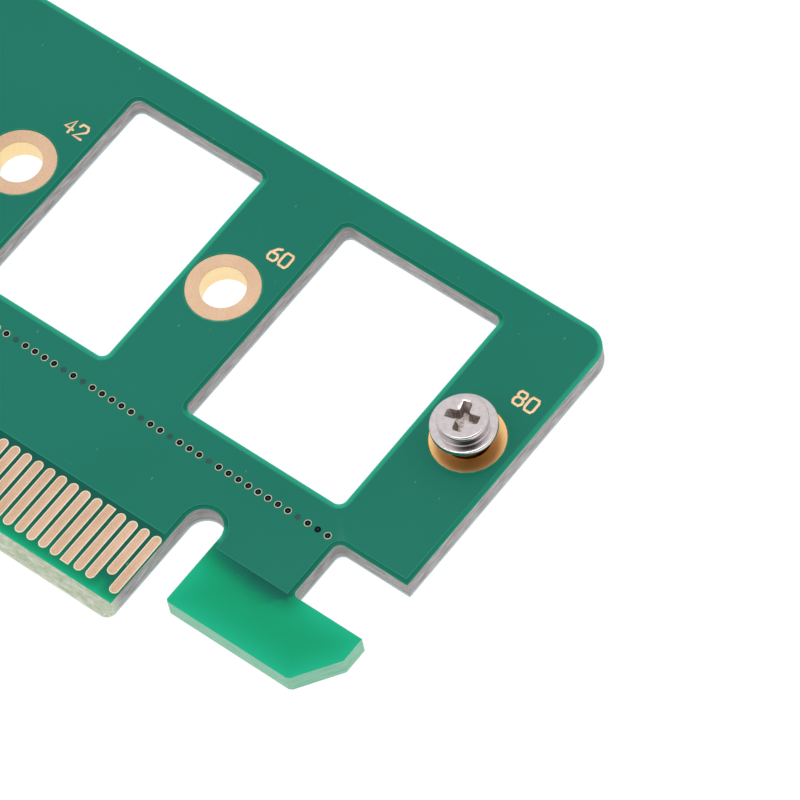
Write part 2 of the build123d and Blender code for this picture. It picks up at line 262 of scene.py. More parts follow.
def laminate_material():
    """Glass-epoxy laminate, cut by a router: dull, with the plies as fine uneven layers."""
    material, tree, place = new_material("milled glass-epoxy laminate")
    axes = add_node(tree, "SeparateXYZ", links={"Vector": place})
    layers = add_node(tree, "Mapping", {"Scale": scales(PLY_STREAK)}, {"Vector": place})
    streaks = add_node(tree, "TexNoise", {"Scale": 1.0, "Detail": 4.0, "Roughness": 0.6}, {"Vector": layers})
    drawn = add_node(tree, "Mapping", {"Scale": scales(BEVEL_STREAK)}, {"Vector": place})
    specks = add_node(tree, "TexNoise", {"Scale": 1.0, "Detail": 5.0, "Roughness": 0.6}, {"Vector": drawn})
    plies = add_node(tree, "ValToRGB", links={"Fac": streaks},
                     stops=zip((0.34, 0.46, 0.56, 0.68), WALL_GREYS))
    # The lowest part of each wall is blended towards a pale blue-white: painted light, as if bounced up from
    # the light table below.
    foot_z = on_card(0, 0, -LAMINATE_THICKNESS).z
    foot = add_node(tree, "MapRange", {"From Min": foot_z + PAINTED_UNDERLIGHT_HEIGHT * MM, "From Max": foot_z,
                                       "To Max": PAINTED_UNDERLIGHT_SHARE}, {"Value": axes.outputs["Z"]})
    grey = add_node(tree, "Mix", {"data_type": "RGBA", 7: linear(PAINTED_UNDERLIGHT)}, {"Factor": foot, 6: plies})
    cream = add_node(tree, "ValToRGB", links={"Fac": specks}, stops=zip((0.34, 0.5, 0.68), CREAM_GREENS))
    tab = add_node(tree, "ValToRGB", links={"Fac": streaks}, stops=zip((0.3, 0.5, 0.72), TAB_EDGE_GREENS))
    tip_y = on_card(0, BEVEL_TOP_Y).y
    tab_corner = on_card(TAB_LEFT_X, TAB_TOP_Y)
    at_tip = add_node(tree, "MapRange", {"From Min": tip_y + BEVEL_FADE * MM, "From Max": tip_y},
                      {"Value": axes.outputs["Y"]})
    below_tab_top = add_node(tree, "Math", {"operation": "LESS_THAN", 1: tab_corner.y},
                             {0: axes.outputs["Y"]})
    right_of_notch = add_node(tree, "Math", {"operation": "GREATER_THAN", 1: tab_corner.x},
                              {0: axes.outputs["X"]})
    on_tab = add_node(tree, "Math", {"operation": "MULTIPLY"}, {0: below_tab_top, 1: right_of_notch})
    tongue = add_node(tree, "Mix", {"data_type": "RGBA"}, {"Factor": at_tip, 6: grey.outputs[2], 7: cream})
    colour = add_node(tree, "Mix", {"data_type": "RGBA"}, {"Factor": on_tab, 6: tongue.outputs[2], 7: tab})
    relief = add_node(tree, "Bump", {"Strength": 0.4, "Distance": 0.03 * MM}, {"Height": streaks})
    close_material(tree, {"Roughness": 0.6, "IOR": 1.5, "Specular IOR Level": 0.3},
                   {"Base Color": colour.outputs[2], "Normal": relief})
    return material


def build_laminate():
    shape = merged_copy("board_laminate")
    rims = [edge for edge in sharp_edges(shape, RIM_ANGLE) if rise(edge) < SAME_LEVEL]
    bevel_edges(shape, rims, EDGE_BREAK, segments=1)
    piece = new_piece("milled_board", shape, laminate_material(), smooth_angle=25)
    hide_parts("board_laminate")


build_laminate()


# The solder mask
# A thin green coat over both faces. Over bare laminate it glows, because light enters at the milled walls and
# the bevel and is held back by copper, so each point takes its glow from how near those are to it.
COPPER_TOP = 0.04
FILM_TOP = 0.014
POUR_SLOPE = 0.06
SLOPE_SHARE = 0.8
GLOW_GRID = 0.3
GLOW_ZONE_Y = -13.0
RIM_STEP = 0.14
COPPER_SHADE_REACH = 1.05
OPEN_GLOW = 0.62
RIM_GLOW = 0.24
BACK_RIM_GLOW = 0.73
RIM_GLOW_REACH = 0.33
PAINTED_RIM_LIGHT_FROM = 0.15
SAME_WALL = 0.05
HOOK_CORNER = 1.5
CORNER_GLOW = 0.7
TAB_GLOW = 0.4
TAB_GLOW_REACH = 1.4
TIP_GLOW = 0.8
TIP_GLOW_REACH = 0.9
BACK_LIGHT = (-0.7, 0.65, 0.0)
FILM_GREENS = ("#0A6252", "#077D62", "#059B6C", "#08AF7C", "#18C293")
PAINTED_RIM_LIGHT_TEAL = "#45C4B0"
POUR_GREENS = ("#1C7F6A", "#1F826D")
SLOPE_GREENS = ("#2B947B", "#30987F")
DUST = "#5E9E8D"
CLOUD_WIDTH = 16.667
RIPPLE_WIDTH = 1.1111
SPECK_SPACING = 1.7
SPECK_RADIUS = 0.045
CLEAN_SHARE = 0.55
CONTACT_PITCH = 1.0
CONTACT_WIDTH = 0.72
CONTACT_LENGTH = 5.0
SHORT_CONTACT_LENGTH = 4.0
CONTACTS_TOP_Y = -17.13
LAST_CONTACT_X = 68.48
CONTACTS_IN_ALL = 82
CONTACTS_BEFORE_KEY = 11
KEY_EXTRA = 2.0
SHORT_FRONT_CONTACTS = (17, 31, 48, 81)
SHORT_BACK_CONTACTS = (1,)
SQUARE_CONTACTS = (78,)


def contact_x(number):
    """Where an edge contact lies. The key slot takes the room of two more after the first eleven."""
    gap = KEY_EXTRA if number <= CONTACTS_BEFORE_KEY else 0
    return LAST_CONTACT_X - (CONTACTS_IN_ALL - number) * CONTACT_PITCH - gap


def contact_length(number, short_ones):
    return SHORT_CONTACT_LENGTH if number in short_ones else CONTACT_LENGTH


def add_mask_shader(tree, place, colour):
    """Cured mask: a smooth satin coat with a faint ripple and a few specks of dust."""
    ripple = add_node(tree, "TexNoise", {"Scale": 1 / (RIPPLE_WIDTH * MM), "Detail": 3.0}, {"Vector": place})
    drift = add_node(tree, "Mapping", {"Scale": (1.0, 0.35, 1.0), "Rotation": (0, 0, 0.6)}, {"Vector": place})
    cells = add_node(tree, "TexVoronoi", {"voronoi_dimensions": "2D", "Scale": 1 / (SPECK_SPACING * MM)},
                     {"Vector": drift})
    chosen = add_node(tree, "SeparateColor", links={"Color": cells.outputs["Color"]})
    size = add_node(tree, "MapRange", {"From Min": CLEAN_SHARE, "To Max": SPECK_RADIUS / SPECK_SPACING},
                    {"Value": chosen.outputs["Red"]})
    speck = add_node(tree, "Math", {"operation": "LESS_THAN"}, {0: cells.outputs["Distance"], 1: size})
    dusty = add_node(tree, "Mix", {"data_type": "RGBA", 7: linear(DUST)}, {"Factor": speck, 6: colour})
    relief = add_node(tree, "Bump", {"Strength": 0.1, "Distance": 0.02 * MM}, {"Height": ripple})
    close_material(tree, {"Roughness": 0.25, "IOR": 1.5, "Specular IOR Level": 0.1},
                   {"Base Color": dusty.outputs[2], "Normal": relief})


def pour_material(name, greens):
    """Epoxy solder mask over copper, in the greens given: an even dark green on top, and a lighter one on the
    slope down at the copper's edge.
    """
    material, tree, place = new_material(name)
    cloud = add_node(tree, "TexNoise", {"Scale": 1 / (CLOUD_WIDTH * MM), "Detail": 2.0}, {"Vector": place})
    green = add_node(tree, "ValToRGB", links={"Fac": cloud}, stops=zip((0.35, 0.65), greens))
    add_mask_shader(tree, place, green)
    return material


def film_material():
    """Epoxy solder mask over bare laminate: a bright green of painted glow, deeper as painted shade next to
    copper, bluer as painted light at a rim.
    """
    material, tree, place = new_material("green solder mask over laminate")
    glow = add_node(tree, "Attribute", {"attribute_name": "glow"}).outputs["Fac"]
    rim = add_node(tree, "Attribute", {"attribute_name": "rim"}).outputs["Fac"]
    green = add_node(tree, "ValToRGB", links={"Fac": glow},
                     stops=zip((0.0, 0.25, 0.5, 0.75, 1.0), FILM_GREENS))
    lit = add_node(tree, "Mix", {"data_type": "RGBA", 7: linear(PAINTED_RIM_LIGHT_TEAL)}, {"Factor": rim, 6: green})
    add_mask_shader(tree, place, lit.outputs[2])
    return material


def sample_points(segments, step=0.15):
    """Points along edges, in a tree that finds the nearest one, and what was given with the edge of each."""
    points = []
    for a, b, given in segments:
        count = max(1, int((b - a).length / (step * MM)))
        points += [(a.lerp(b, i / count), given) for i in range(count + 1)]
    tree = KDTree(len(points))
    for index, (point, given) in enumerate(points):
        tree.insert(point, index)
    tree.balance()
    return tree, [given for point, given in points]


def flat(vector):
    return Vector((vector.x, vector.y, 0))


def rim_light(edge):
    """The glow at a milled wall, most where it faces the light, and its reach, farthest on the tab."""
    a, b = [flat(vert.co) for vert in edge.verts]
    middle = (a + b) / 2
    outward = (b - a).cross(Vector((0, 0, 1))).normalized()
    if outward.dot(middle - flat(edge.link_faces[0].calc_center_median())) < 0:
        outward.negate()
    tab_corner = on_card(TAB_LEFT_X, TAB_TOP_Y + SAME_WALL)
    hook_corner = on_card(MODULE_EDGE_TO_HOOK_END - HOOK_CORNER, 0)
    if middle.y < tab_corner.y and middle.x > tab_corner.x:
        return TAB_GLOW, TAB_GLOW_REACH
    if middle.x > hook_corner.x and middle.y > hook_corner.y:
        return CORNER_GLOW, RIM_GLOW_REACH
    return RIM_GLOW + BACK_RIM_GLOW * max(0.0, outward.dot(Vector(BACK_LIGHT))), RIM_GLOW_REACH


def outer_level(shape, side):
    """The height of a shape's front or back face, which are its highest and lowest."""
    return (max if side > 0 else min)(v.co.z for v in shape.verts)


def leaves_level(face_or_edge, level):
    return any(abs(v.co.z - level) > SAME_LEVEL for v in face_or_edge.verts)


def face_sheet(node_name, side):
    """The flat front or back face of a CAD node, alone."""
    shape = merged_copy(node_name, flatten=False)
    level = outer_level(shape, side)
    bmesh.ops.delete(shape, geom=[f for f in shape.faces if leaves_level(f, level)], context="FACES")
    return shape


def contact_outlines(short_ones):
    """The sides and ends of every contact, for the shade that they cast."""
    lines = []
    half = CONTACT_WIDTH / 2
    for number in range(1, CONTACTS_IN_ALL + 1):
        x = contact_x(number)
        low = CONTACTS_TOP_Y - contact_length(number, short_ones)
        ends = ((-half, CONTACTS_TOP_Y), (half, CONTACTS_TOP_Y), (half, low), (-half, low))
        corners = [flat(on_card(x + dx, y)) for dx, y in ends]
        lines += [(a, b, None) for a, b in zip(corners, corners[1:] + corners[:1])]
    return lines


def cut_grid(shape, low, high, normal, near_zone):
    """Cuts the sheet along evenly spaced lines, so that it can carry the glow."""
    for step in range(1, int((high - low) / (GLOW_GRID * MM))):
        faces = [f for f in shape.faces if near_zone(f)]
        geometry = set(faces)
        for f in faces:
            geometry.update(f.edges)
            geometry.update(f.verts)
        place = Vector(normal) * (low + step * GLOW_GRID * MM)
        bmesh.ops.bisect_plane(shape, geom=list(geometry), plane_co=place, plane_no=normal, dist=1e-7)


def sheet_outline(shape):
    """Each edge of a sheet's outline, flat, with the glow that a wall there would give."""
    return [(*[flat(v.co) for v in e.verts], rim_light(e)) for e in shape.edges if e.is_boundary]


def build_film(side, name, pour_node, short_ones, material):
    shape = face_sheet("board_laminate", side)
    walls, wall_light = sample_points(sheet_outline(shape))
    pour = face_sheet(pour_node, side)
    copper = sample_points(sheet_outline(pour) + contact_outlines(short_ones))[0]
    pour.free()
    for step in range(2):
        bmesh.ops.inset_region(shape, faces=shape.faces, thickness=RIM_STEP * MM, use_boundary=True,
                               use_even_offset=True)
    low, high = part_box("board_laminate")
    zone_top = on_card(0, GLOW_ZONE_Y).y
    cut_grid(shape, low.y, zone_top, (0, 1, 0), lambda f: True)
    cut_grid(shape, low.x, high.x, (1, 0, 0), lambda f: f.calc_center_median().y < zone_top)
    glow = shape.verts.layers.float.new("glow")
    painted_rim_light = shape.verts.layers.float.new("rim")
    tip_y = on_card(0, BEVEL_TOP_Y).y
    for vert in shape.verts:
        index, to_wall = walls.find(flat(vert.co))[1:]
        to_copper = copper.find(flat(vert.co))[2]
        open_share = 1 - math.exp(-(to_copper / (COPPER_SHADE_REACH * MM)) ** 2)
        strength, reach = wall_light[index]
        from_wall = strength * math.exp(-to_wall / (reach * MM))
        from_tip = TIP_GLOW * math.exp((tip_y - vert.co.y) / (TIP_GLOW_REACH * MM))
        vert[glow] = min(1.0, OPEN_GLOW * open_share + max(from_wall, from_tip))
        # The rim attribute carries painted rim light, which the material tints teal.
        vert[painted_rim_light] = max(0.0, from_wall - PAINTED_RIM_LIGHT_FROM) if reach == RIM_GLOW_REACH else 0.0
    bmesh.ops.translate(shape, verts=shape.verts, vec=(0, 0, side * FILM_TOP * MM))
    rim = [e for e in shape.edges if e.is_boundary]
    skirt = bmesh.ops.extrude_edge_only(shape, edges=rim)["geom"]
    skirt_verts = [v for v in skirt if isinstance(v, bmesh.types.BMVert)]
    bmesh.ops.translate(shape, verts=skirt_verts, vec=(0, 0, -side * FILM_TOP * MM))
    bmesh.ops.recalc_face_normals(shape, faces=shape.faces)
    if sum(f.normal.z * side for f in shape.faces) < 0:
        bmesh.ops.reverse_faces(shape, faces=shape.faces)
    new_piece(name, shape, material)


def build_pour(side, name, pour_node):
    """The raised part of the mask, which slopes down to the film where the copper under it ends."""
    shape = merged_copy(pour_node, flatten=False)
    level = outer_level(shape, side)
    top = [f for f in shape.faces if not leaves_level(f, level)]
    outer = {v for f in top for v in f.verts}
    slope = bmesh.ops.inset_region(shape, faces=top, thickness=POUR_SLOPE * MM, use_boundary=True,
                                   use_even_offset=True)["faces"]
    for face in slope:
        face.material_index = 1
    rim = [v for v in outer if v.is_valid and any(leaves_level(e, level) for e in v.link_edges)]
    bmesh.ops.translate(shape, verts=rim, vec=(0, 0, -side * (COPPER_TOP - FILM_TOP) * SLOPE_SHARE * MM))
    piece = new_piece(name, shape, pour_green, smooth_angle=60)
    piece.data.materials.append(slope_green)
    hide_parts(pour_node)


pour_green = pour_material("green solder mask over copper", POUR_GREENS)
slope_green = pour_material("green solder mask on a copper edge", SLOPE_GREENS)
film_green = film_material()
build_pour(1, "mask_over_front_copper", "front_mask")
build_pour(-1, "mask_over_back_copper", "back_mask")
build_film(1, "mask_over_front_laminate", "front_mask", SHORT_FRONT_CONTACTS, film_green)
build_film(-1, "mask_over_back_laminate", "back_mask", SHORT_BACK_CONTACTS, film_green)


# The edge contacts
# Copper fingers plated with nickel and gold, 5 mm long at 1 mm pitch. Their ends are round, and each edge
# falls away in a narrow rim that carries a fine bright line of painted highlight.
END_ROUND = 0.499
RIM_WIDTH = 0.075
RIM_DROP = 0.012
MOST_FACES_A_FINGER = 40
GOLD_GRAIN = 0.11111
GOLD_CLOUD = 2.8571
GOLD_TONES = ("#C19D83", "#C9A68C", "#D1AF96")
EDGE_HIGHLIGHT_TONES = ("#F7E3BE", "#FBEACB", "#FFF1D8")


def gold_material(name, tones, roughness, metallic=0.9):
    """Immersion gold over etched copper: a matt grain, drawn coarser than it is so that it shows."""
    material, tree, place = new_material(name)
    grain = add_node(tree, "TexNoise", {"Scale": 1 / (GOLD_GRAIN * MM), "Detail": 2.0}, {"Vector": place})
    cloud = add_node(tree, "TexNoise", {"Scale": 1 / (GOLD_CLOUD * MM), "Detail": 2.0}, {"Vector": place})
    both = add_node(tree, "Mix", {"data_type": "FLOAT", "Factor": 0.5}, {2: cloud, 3: grain})
    tone = add_node(tree, "ValToRGB", links={"Fac": both}, stops=zip((0.36, 0.5, 0.64), tones))
    relief = add_node(tree, "Bump", {"Strength": 0.15, "Distance": 0.003 * MM}, {"Height": grain})
    close_material(tree, {"Metallic": metallic, "Roughness": roughness},
                   {"Base Color": tone, "Normal": relief})
    return material


def add_contact(shape, x, length, side, square):
    """One finger: a flat bar whose ends are rounded to half its width, with a narrow rim that falls away."""
    made = bmesh.ops.create_cube(shape, size=1.0)["verts"]
    base = 0 if side > 0 else -LAMINATE_THICKNESS
    bmesh.ops.scale(shape, verts=made, vec=(CONTACT_WIDTH * MM, length * MM, COPPER_TOP * MM))
    middle = on_card(x, CONTACTS_TOP_Y - length / 2, base + side * COPPER_TOP / 2)
    bmesh.ops.translate(shape, verts=made, vec=middle)
    upright = {e for v in made for e in v.link_edges if rise(e) > SAME_LEVEL}
    if not square:
        bevel_edges(shape, upright, CONTACT_WIDTH * END_ROUND, segments=7)
    face_level = middle.z + side * COPPER_TOP / 2 * MM
    shape.faces.ensure_lookup_table()
    newest = shape.faces[-MOST_FACES_A_FINGER:]
    top = [f for f in newest if all(abs(v.co.z - face_level) < 1e-8 for v in f.verts)
           and abs(f.calc_center_median().x - middle.x) < CONTACT_WIDTH / 2 * MM]
    edge = list(top[0].verts)
    rim = bmesh.ops.inset_individual(shape, faces=top, thickness=RIM_WIDTH * MM,
                                     use_even_offset=True)["faces"]
    # The rim faces take the second slot, a brighter gold that is a painted highlight.
    for face in rim:
        face.material_index = 1
    bmesh.ops.translate(shape, verts=edge, vec=(0, 0, -side * RIM_DROP * MM))


def build_contacts(side, name, node, short_ones, square_ones):
    shape = bmesh.new()
    for number in range(1, CONTACTS_IN_ALL + 1):
        add_contact(shape, contact_x(number), contact_length(number, short_ones), side, number in square_ones)
    piece = new_piece(name, shape, gold, smooth_angle=30)
    piece.data.materials.append(edge_highlight_gold)
    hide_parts(node)


gold = gold_material("immersion gold on a finger", GOLD_TONES, roughness=0.4)
edge_highlight_gold = gold_material("painted highlight on a finger's edge", EDGE_HIGHLIGHT_TONES, roughness=0.5, metallic=0.2)
build_contacts(1, "front_fingers", "front_contacts", SHORT_FRONT_CONTACTS, SQUARE_CONTACTS)
build_contacts(-1, "back_fingers", "back_contacts", SHORT_BACK_CONTACTS, ())


# The plated holes
# Three drilled holes, each with a gold ring on both faces and a plated wall between them, where the standoff
# bush goes for one module length.
HOLE_XS = {"42": 42.3, "60": 60.0, "80": 80.52}
HOLE_RADIUS = 1.6
RING_RADIUS = 2.6
RING_EDGE = 0.03
MOUTH_EDGE = 0.03
ARC_MIDDLE = 0.3
BACK_TOP = -LAMINATE_THICKNESS - COPPER_TOP
RING_GOLD_TONES = ("#CFAB8C", "#D6B394", "#DDBB9D")
BRASS_REFLECTION_TONES = ("#E0B074", "#E6B77C", "#ECBF85")
BOUNCE_LIT_WALL_TONES = ("#FBDDA4", "#FDE3AE", "#FFE9BA")


def turn(shape, profile, x, y, steps=96):
    """Spins a closed profile of radius and height round an upright axis on the card."""
    verts = [shape.verts.new(on_card(x + r, y, z)) for r, z in profile]
    edges = [shape.edges.new(pair) for pair in zip(verts, verts[1:] + verts[:1])]
    bmesh.ops.spin(shape, geom=verts + edges, cent=on_card(x, y), axis=(0, 0, 1), angle=math.tau, steps=steps,
                   use_merge=True)
    bmesh.ops.remove_doubles(shape, verts=shape.verts, dist=1e-7)
    bmesh.ops.recalc_face_normals(shape, faces=shape.faces)


def build_plated_holes():
    ring_gold = gold_material("immersion gold on a ring", RING_GOLD_TONES, roughness=0.38)
    brass_reflection_gold = gold_material("immersion gold with a painted brass reflection", BRASS_REFLECTION_TONES, roughness=0.38)
    bounce_lit_wall_gold = gold_material("plated wall of a hole in painted bounce light", BOUNCE_LIT_WALL_TONES, roughness=0.35)
    inner = HOLE_RADIUS + MOUTH_EDGE
    profile = [
        (HOLE_RADIUS, BACK_TOP + RING_EDGE), (HOLE_RADIUS, COPPER_TOP - MOUTH_EDGE),
        (HOLE_RADIUS + MOUTH_EDGE * ARC_MIDDLE, COPPER_TOP - MOUTH_EDGE * ARC_MIDDLE), (inner, COPPER_TOP),
        (RING_RADIUS - RING_EDGE, COPPER_TOP), (RING_RADIUS, COPPER_TOP - RING_EDGE), (RING_RADIUS, 0),
        (inner, 0), (inner, -LAMINATE_THICKNESS), (RING_RADIUS, -LAMINATE_THICKNESS),
        (RING_RADIUS, BACK_TOP + RING_EDGE), (RING_RADIUS - RING_EDGE, BACK_TOP),
        (HOLE_RADIUS + RING_EDGE, BACK_TOP),
    ]
    for length, x in HOLE_XS.items():
        shape = bmesh.new()
        turn(shape, profile, x, 0)
        axis = flat(on_card(x, 0))
        # The bore walls take a brighter, yellower gold than the rings: the plating's own gold, lightened as
        # painted light bounced up from the light table.
        for face in shape.faces:
            in_bore = (flat(face.calc_center_median()) - axis).length < (HOLE_RADIUS + MOUTH_EDGE * 0.6) * MM
            face.material_index = 1 if in_bore else 0
        # The ring under the bush takes a warmer gold: a painted reflection of the brass above it.
        face_gold = brass_reflection_gold if length == "80" else ring_gold
        piece = new_piece("gold_ring_" + length, shape, face_gold, smooth_angle=20)
        piece.data.materials.append(bounce_lit_wall_gold)
        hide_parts("plated_hole_" + length)


build_plated_holes()


# The stitching vias
# A row of small drilled holes that tie the front copper to the back. Most show a thin pale ring round a dark
# bore, drawn as a flat disc of painted shade, and the mask has run over a few.
VIA_PITCH = 0.825
VIA_COUNT = 36
VIA_Y = -10.9
LAST_VIA_X = 77.49
VIA_HOLE_RADIUS = 0.215
VIA_RING_RADIUS = 0.275
VIA_RING_EDGE = 0.02
VIA_RING_FOOT = 0.02
VIA_RING_TOP = 0.055
VIA_BORE_TOP = 0.046
TENT_RADIUS = 0.22
TENT_RISE = 0.004
TENTED_VIAS = (4, 13, 17, 20, 26, 28, 33)
COVERED_RINGS = (2,)


def grained_material(name, width, stops, shine, detail=2.0, relief=0):
    """A material with an even grain, drawn as coarse as it needs to be to show, in its colour and relief."""
    material, tree, place = new_material(name)
    grain = add_node(tree, "TexNoise", {"Scale": 1 / (width * MM), "Detail": detail}, {"Vector": place})
    links = {"Base Color": add_node(tree, "ValToRGB", links={"Fac": grain}, stops=stops)}
    if relief:
        links["Normal"] = add_node(tree, "Bump", {"Strength": relief, "Distance": 0.01 * MM},
                                   {"Height": grain})
    close_material(tree, shine, links)
    return material


def via_bore_shade_material():
    """Painted shade in a via's bore, a dark disc in place of the hole, with a faint grey spot of painted
    light that comes up from its far end.
    """
    material, tree, place = new_material("painted shade in a via bore")
    depth = add_node(tree, "Attribute", {"attribute_name": "from_centre"}).outputs["Fac"]
    tone = add_node(tree, "ValToRGB", links={"Fac": depth},
                    stops=[(0.0, "#4A5B5C"), (0.3, "#1B2829"), (0.45, "#05090A"), (1.0, "#071210")])
    close_material(tree, {"Roughness": 0.7, "Specular IOR Level": 0.1}, {"Base Color": tone})
    return material


def add_disc(shape, layer, x, y, radius, level, side):
    made = bmesh.ops.create_circle(shape, cap_ends=True, cap_tris=True, segments=20,
                                   radius=radius * MM)["verts"]
    for vert in made:
        vert[layer] = min(1.0, vert.co.length / (radius * MM))
    if side < 0:
        bmesh.ops.reverse_faces(shape, faces=list({f for v in made for f in v.link_faces}))
    bmesh.ops.translate(shape, verts=made, vec=on_card(x, y, level))


def build_vias():
    rings = bmesh.new()
    bores = bmesh.new()
    spots = bmesh.new()
    bore_layer = bores.verts.layers.float.new("from_centre")
    spot_layer = spots.verts.layers.float.new("from_centre")
    ring = [(VIA_HOLE_RADIUS, VIA_RING_FOOT), (VIA_HOLE_RADIUS, VIA_RING_TOP),
            (VIA_RING_RADIUS - VIA_RING_EDGE, VIA_RING_TOP), (VIA_RING_RADIUS, VIA_RING_FOOT)]
    for number in range(1, VIA_COUNT + 1):
        x = LAST_VIA_X - (number - 1) * VIA_PITCH
        if number in TENTED_VIAS:
            add_disc(spots, spot_layer, x, VIA_Y, TENT_RADIUS, COPPER_TOP + TENT_RISE, 1)
        else:
            if number not in COVERED_RINGS:
                turn(rings, ring, x, VIA_Y, steps=20)
            # A dark disc stands in for the hole: painted shade.
            add_disc(bores, bore_layer, x, VIA_Y, VIA_HOLE_RADIUS + 0.01, VIA_BORE_TOP, 1)
        add_disc(spots, spot_layer, x, VIA_Y, TENT_RADIUS, BACK_TOP - TENT_RISE, -1)
    scuffed = grained_material("plated via ring", 0.25, [(0.4, "#CFC8AE"), (0.6, "#EAE3CC")],
                               {"Metallic": 0.15, "Roughness": 0.5})
    sagged = grained_material("mask over a via", 0.4, [(0.3, "#1E4F48"), (0.7, "#2B5E56")],
                              {"Roughness": 0.35, "Specular IOR Level": 0.25})
    piece = new_piece("via_rings", rings, scuffed, smooth_angle=40)
    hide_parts("stitching_vias")
    new_piece("via_bore_shade_discs", bores, via_bore_shade_material())
    new_piece("tented_vias", spots, sagged)


build_vias()


# The module lengths
# Plain numbers beside the holes, each the length in millimetres of the module that it holds. They are windows
# in the mask with gold at the bottom, drawn by a round pen.
NUMBER_HEIGHT = 1.06
NUMBER_WIDTH = 0.67
NUMBER_STEP = 0.95
PEN_WIDTH = 0.2
PEN_RISE = 0.012
NUMBER_GOLD_TONES = ("#E4BE92", "#EAC59A", "#F0CCA3")
NUMBER_PLACES = {"42": (43.0, 3.7), "60": (60.9, 3.45), "80": (81.2, 3.75)}
DIGIT_STROKES = {
    "0": [[(0.5, 0), (0.85, 0), (1, 0.2), (1, 0.8), (0.85, 1), (0.15, 1), (0, 0.8), (0, 0.2), (0.15, 0),
           (0.5, 0)]],
    "2": [[(0, 0.78), (0.15, 1), (0.8, 1), (1, 0.8), (1, 0.62), (0, 0), (1, 0)]],
    "4": [[(0.75, 0), (0.75, 1), (0, 0.32), (1, 0.32)]],
    "6": [[(0.85, 1), (0.45, 0.9), (0, 0.45), (0, 0.18), (0.18, 0), (0.82, 0), (1, 0.18), (1, 0.36),
           (0.82, 0.54), (0.1, 0.54)]],
    "8": [[(0.2, 0.54), (0, 0.36), (0, 0.18), (0.18, 0), (0.82, 0), (1, 0.18), (1, 0.36), (0.8, 0.54),
           (0.2, 0.54), (0.05, 0.68), (0.05, 0.86), (0.2, 1), (0.8, 1), (0.95, 0.86), (0.95, 0.68),
           (0.8, 0.54)]],
}


def pen_stroke(points):
    """One stroke as a round tube along its points, as a mesh."""
    curve = bpy.data.curves.new("pen_stroke", "CURVE")
    curve.dimensions = "3D"
    curve.bevel_depth = PEN_WIDTH / 2 * MM
    curve.bevel_resolution = 3
    curve.use_fill_caps = True
    spline = curve.splines.new("POLY")
    spline.points.add(len(points) - 1)
    for target, (x, y) in zip(spline.points, points):
        target.co = (x * MM, y * MM, 0, 1)
    holder = bpy.data.objects.new("pen_stroke", curve)
    mesh = bpy.data.meshes.new_from_object(holder)
    bpy.data.objects.remove(holder)
    return mesh


def build_numbers(material):
    for number, (left, low) in NUMBER_PLACES.items():
        shape = bmesh.new()
        for place, digit in enumerate(number):
            for stroke in DIGIT_STROKES[digit]:
                points = [(x * NUMBER_WIDTH + place * NUMBER_STEP, y * NUMBER_HEIGHT) for x, y in stroke]
                shape.from_mesh(pen_stroke(points))
                for x, y in (points[0], points[-1]):
                    end = bmesh.ops.create_uvsphere(shape, u_segments=12, v_segments=6,
                                                    radius=PEN_WIDTH / 2 * MM)["verts"]
                    bmesh.ops.translate(shape, verts=end, vec=(x * MM, y * MM, 0))
        bmesh.ops.scale(shape, verts=shape.verts, vec=(1, 1, PEN_RISE / (PEN_WIDTH / 2)))
        bmesh.ops.translate(shape, verts=shape.verts, vec=on_card(left, low, COPPER_TOP))
        new_piece("length_mark_" + number, shape, material, smooth_angle=50)


build_numbers(gold_material("gold under a window in the mask", NUMBER_GOLD_TONES, roughness=0.45))


# The standoff bush
# A turned brass bush with a flat head, pushed up through the last hole from the back. The module lies on its
# bright top, and its bore is threaded for the screw.
BUSH_X = HOLE_XS["80"] - 0.06
BUSH_Y = -0.05
STANDOFF_HEIGHT = 1.5
BUSH_RADIUS = 1.5
BUSH_HEAD_RADIUS = 2.5
BUSH_HEAD_HEIGHT = 0.8
BUSH_CHAMFER = 0.15
THREAD_RADIUS = 1.0
TURNING_STEP = 0.20944
WAVES_A_UNIT = 20 / math.tau
BRASS_TONES = ("#D79C48", "#F0C67C")


def brass_material():
    """Free-cutting brass from the lathe: bright, with fine turned rings."""
    material, tree, place = new_material("turned brass")
    centred = add_node(tree, "Mapping", {"vector_type": "POINT", "Location": tuple(-on_card(BUSH_X, BUSH_Y))},
                       {"Vector": place})
    rings = add_node(tree, "TexWave", {"wave_type": "RINGS", "rings_direction": "Z", "Distortion": 0.3,
                                       "Scale": 1 / (TURNING_STEP * MM * WAVES_A_UNIT)}, {"Vector": centred})
    tone = add_node(tree, "ValToRGB", links={"Fac": rings}, stops=zip((0.0, 1.0), BRASS_TONES))
    relief = add_node(tree, "Bump", {"Strength": 0.2, "Distance": 0.004 * MM}, {"Height": rings})
    close_material(tree, {"Metallic": 1.0, "Roughness": 0.22}, {"Base Color": tone, "Normal": relief})
    return material


def build_bush():
    foot = BACK_TOP - BUSH_HEAD_HEIGHT
    c = BUSH_CHAMFER
    profile = [
        (THREAD_RADIUS + c, STANDOFF_HEIGHT), (BUSH_RADIUS - c, STANDOFF_HEIGHT),
        (BUSH_RADIUS, STANDOFF_HEIGHT - c), (BUSH_RADIUS, BACK_TOP), (BUSH_HEAD_RADIUS, BACK_TOP),
        (BUSH_HEAD_RADIUS, foot + c), (BUSH_HEAD_RADIUS - c, foot), (THREAD_RADIUS + c, foot),
        (THREAD_RADIUS, foot + c), (THREAD_RADIUS, STANDOFF_HEIGHT - c),
    ]
    shape = bmesh.new()
    turn(shape, profile, BUSH_X, BUSH_Y)
    piece = new_piece("brass_standoff", shape, brass_material(), smooth_angle=30)
    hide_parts("standoff_bush")


build_bush()


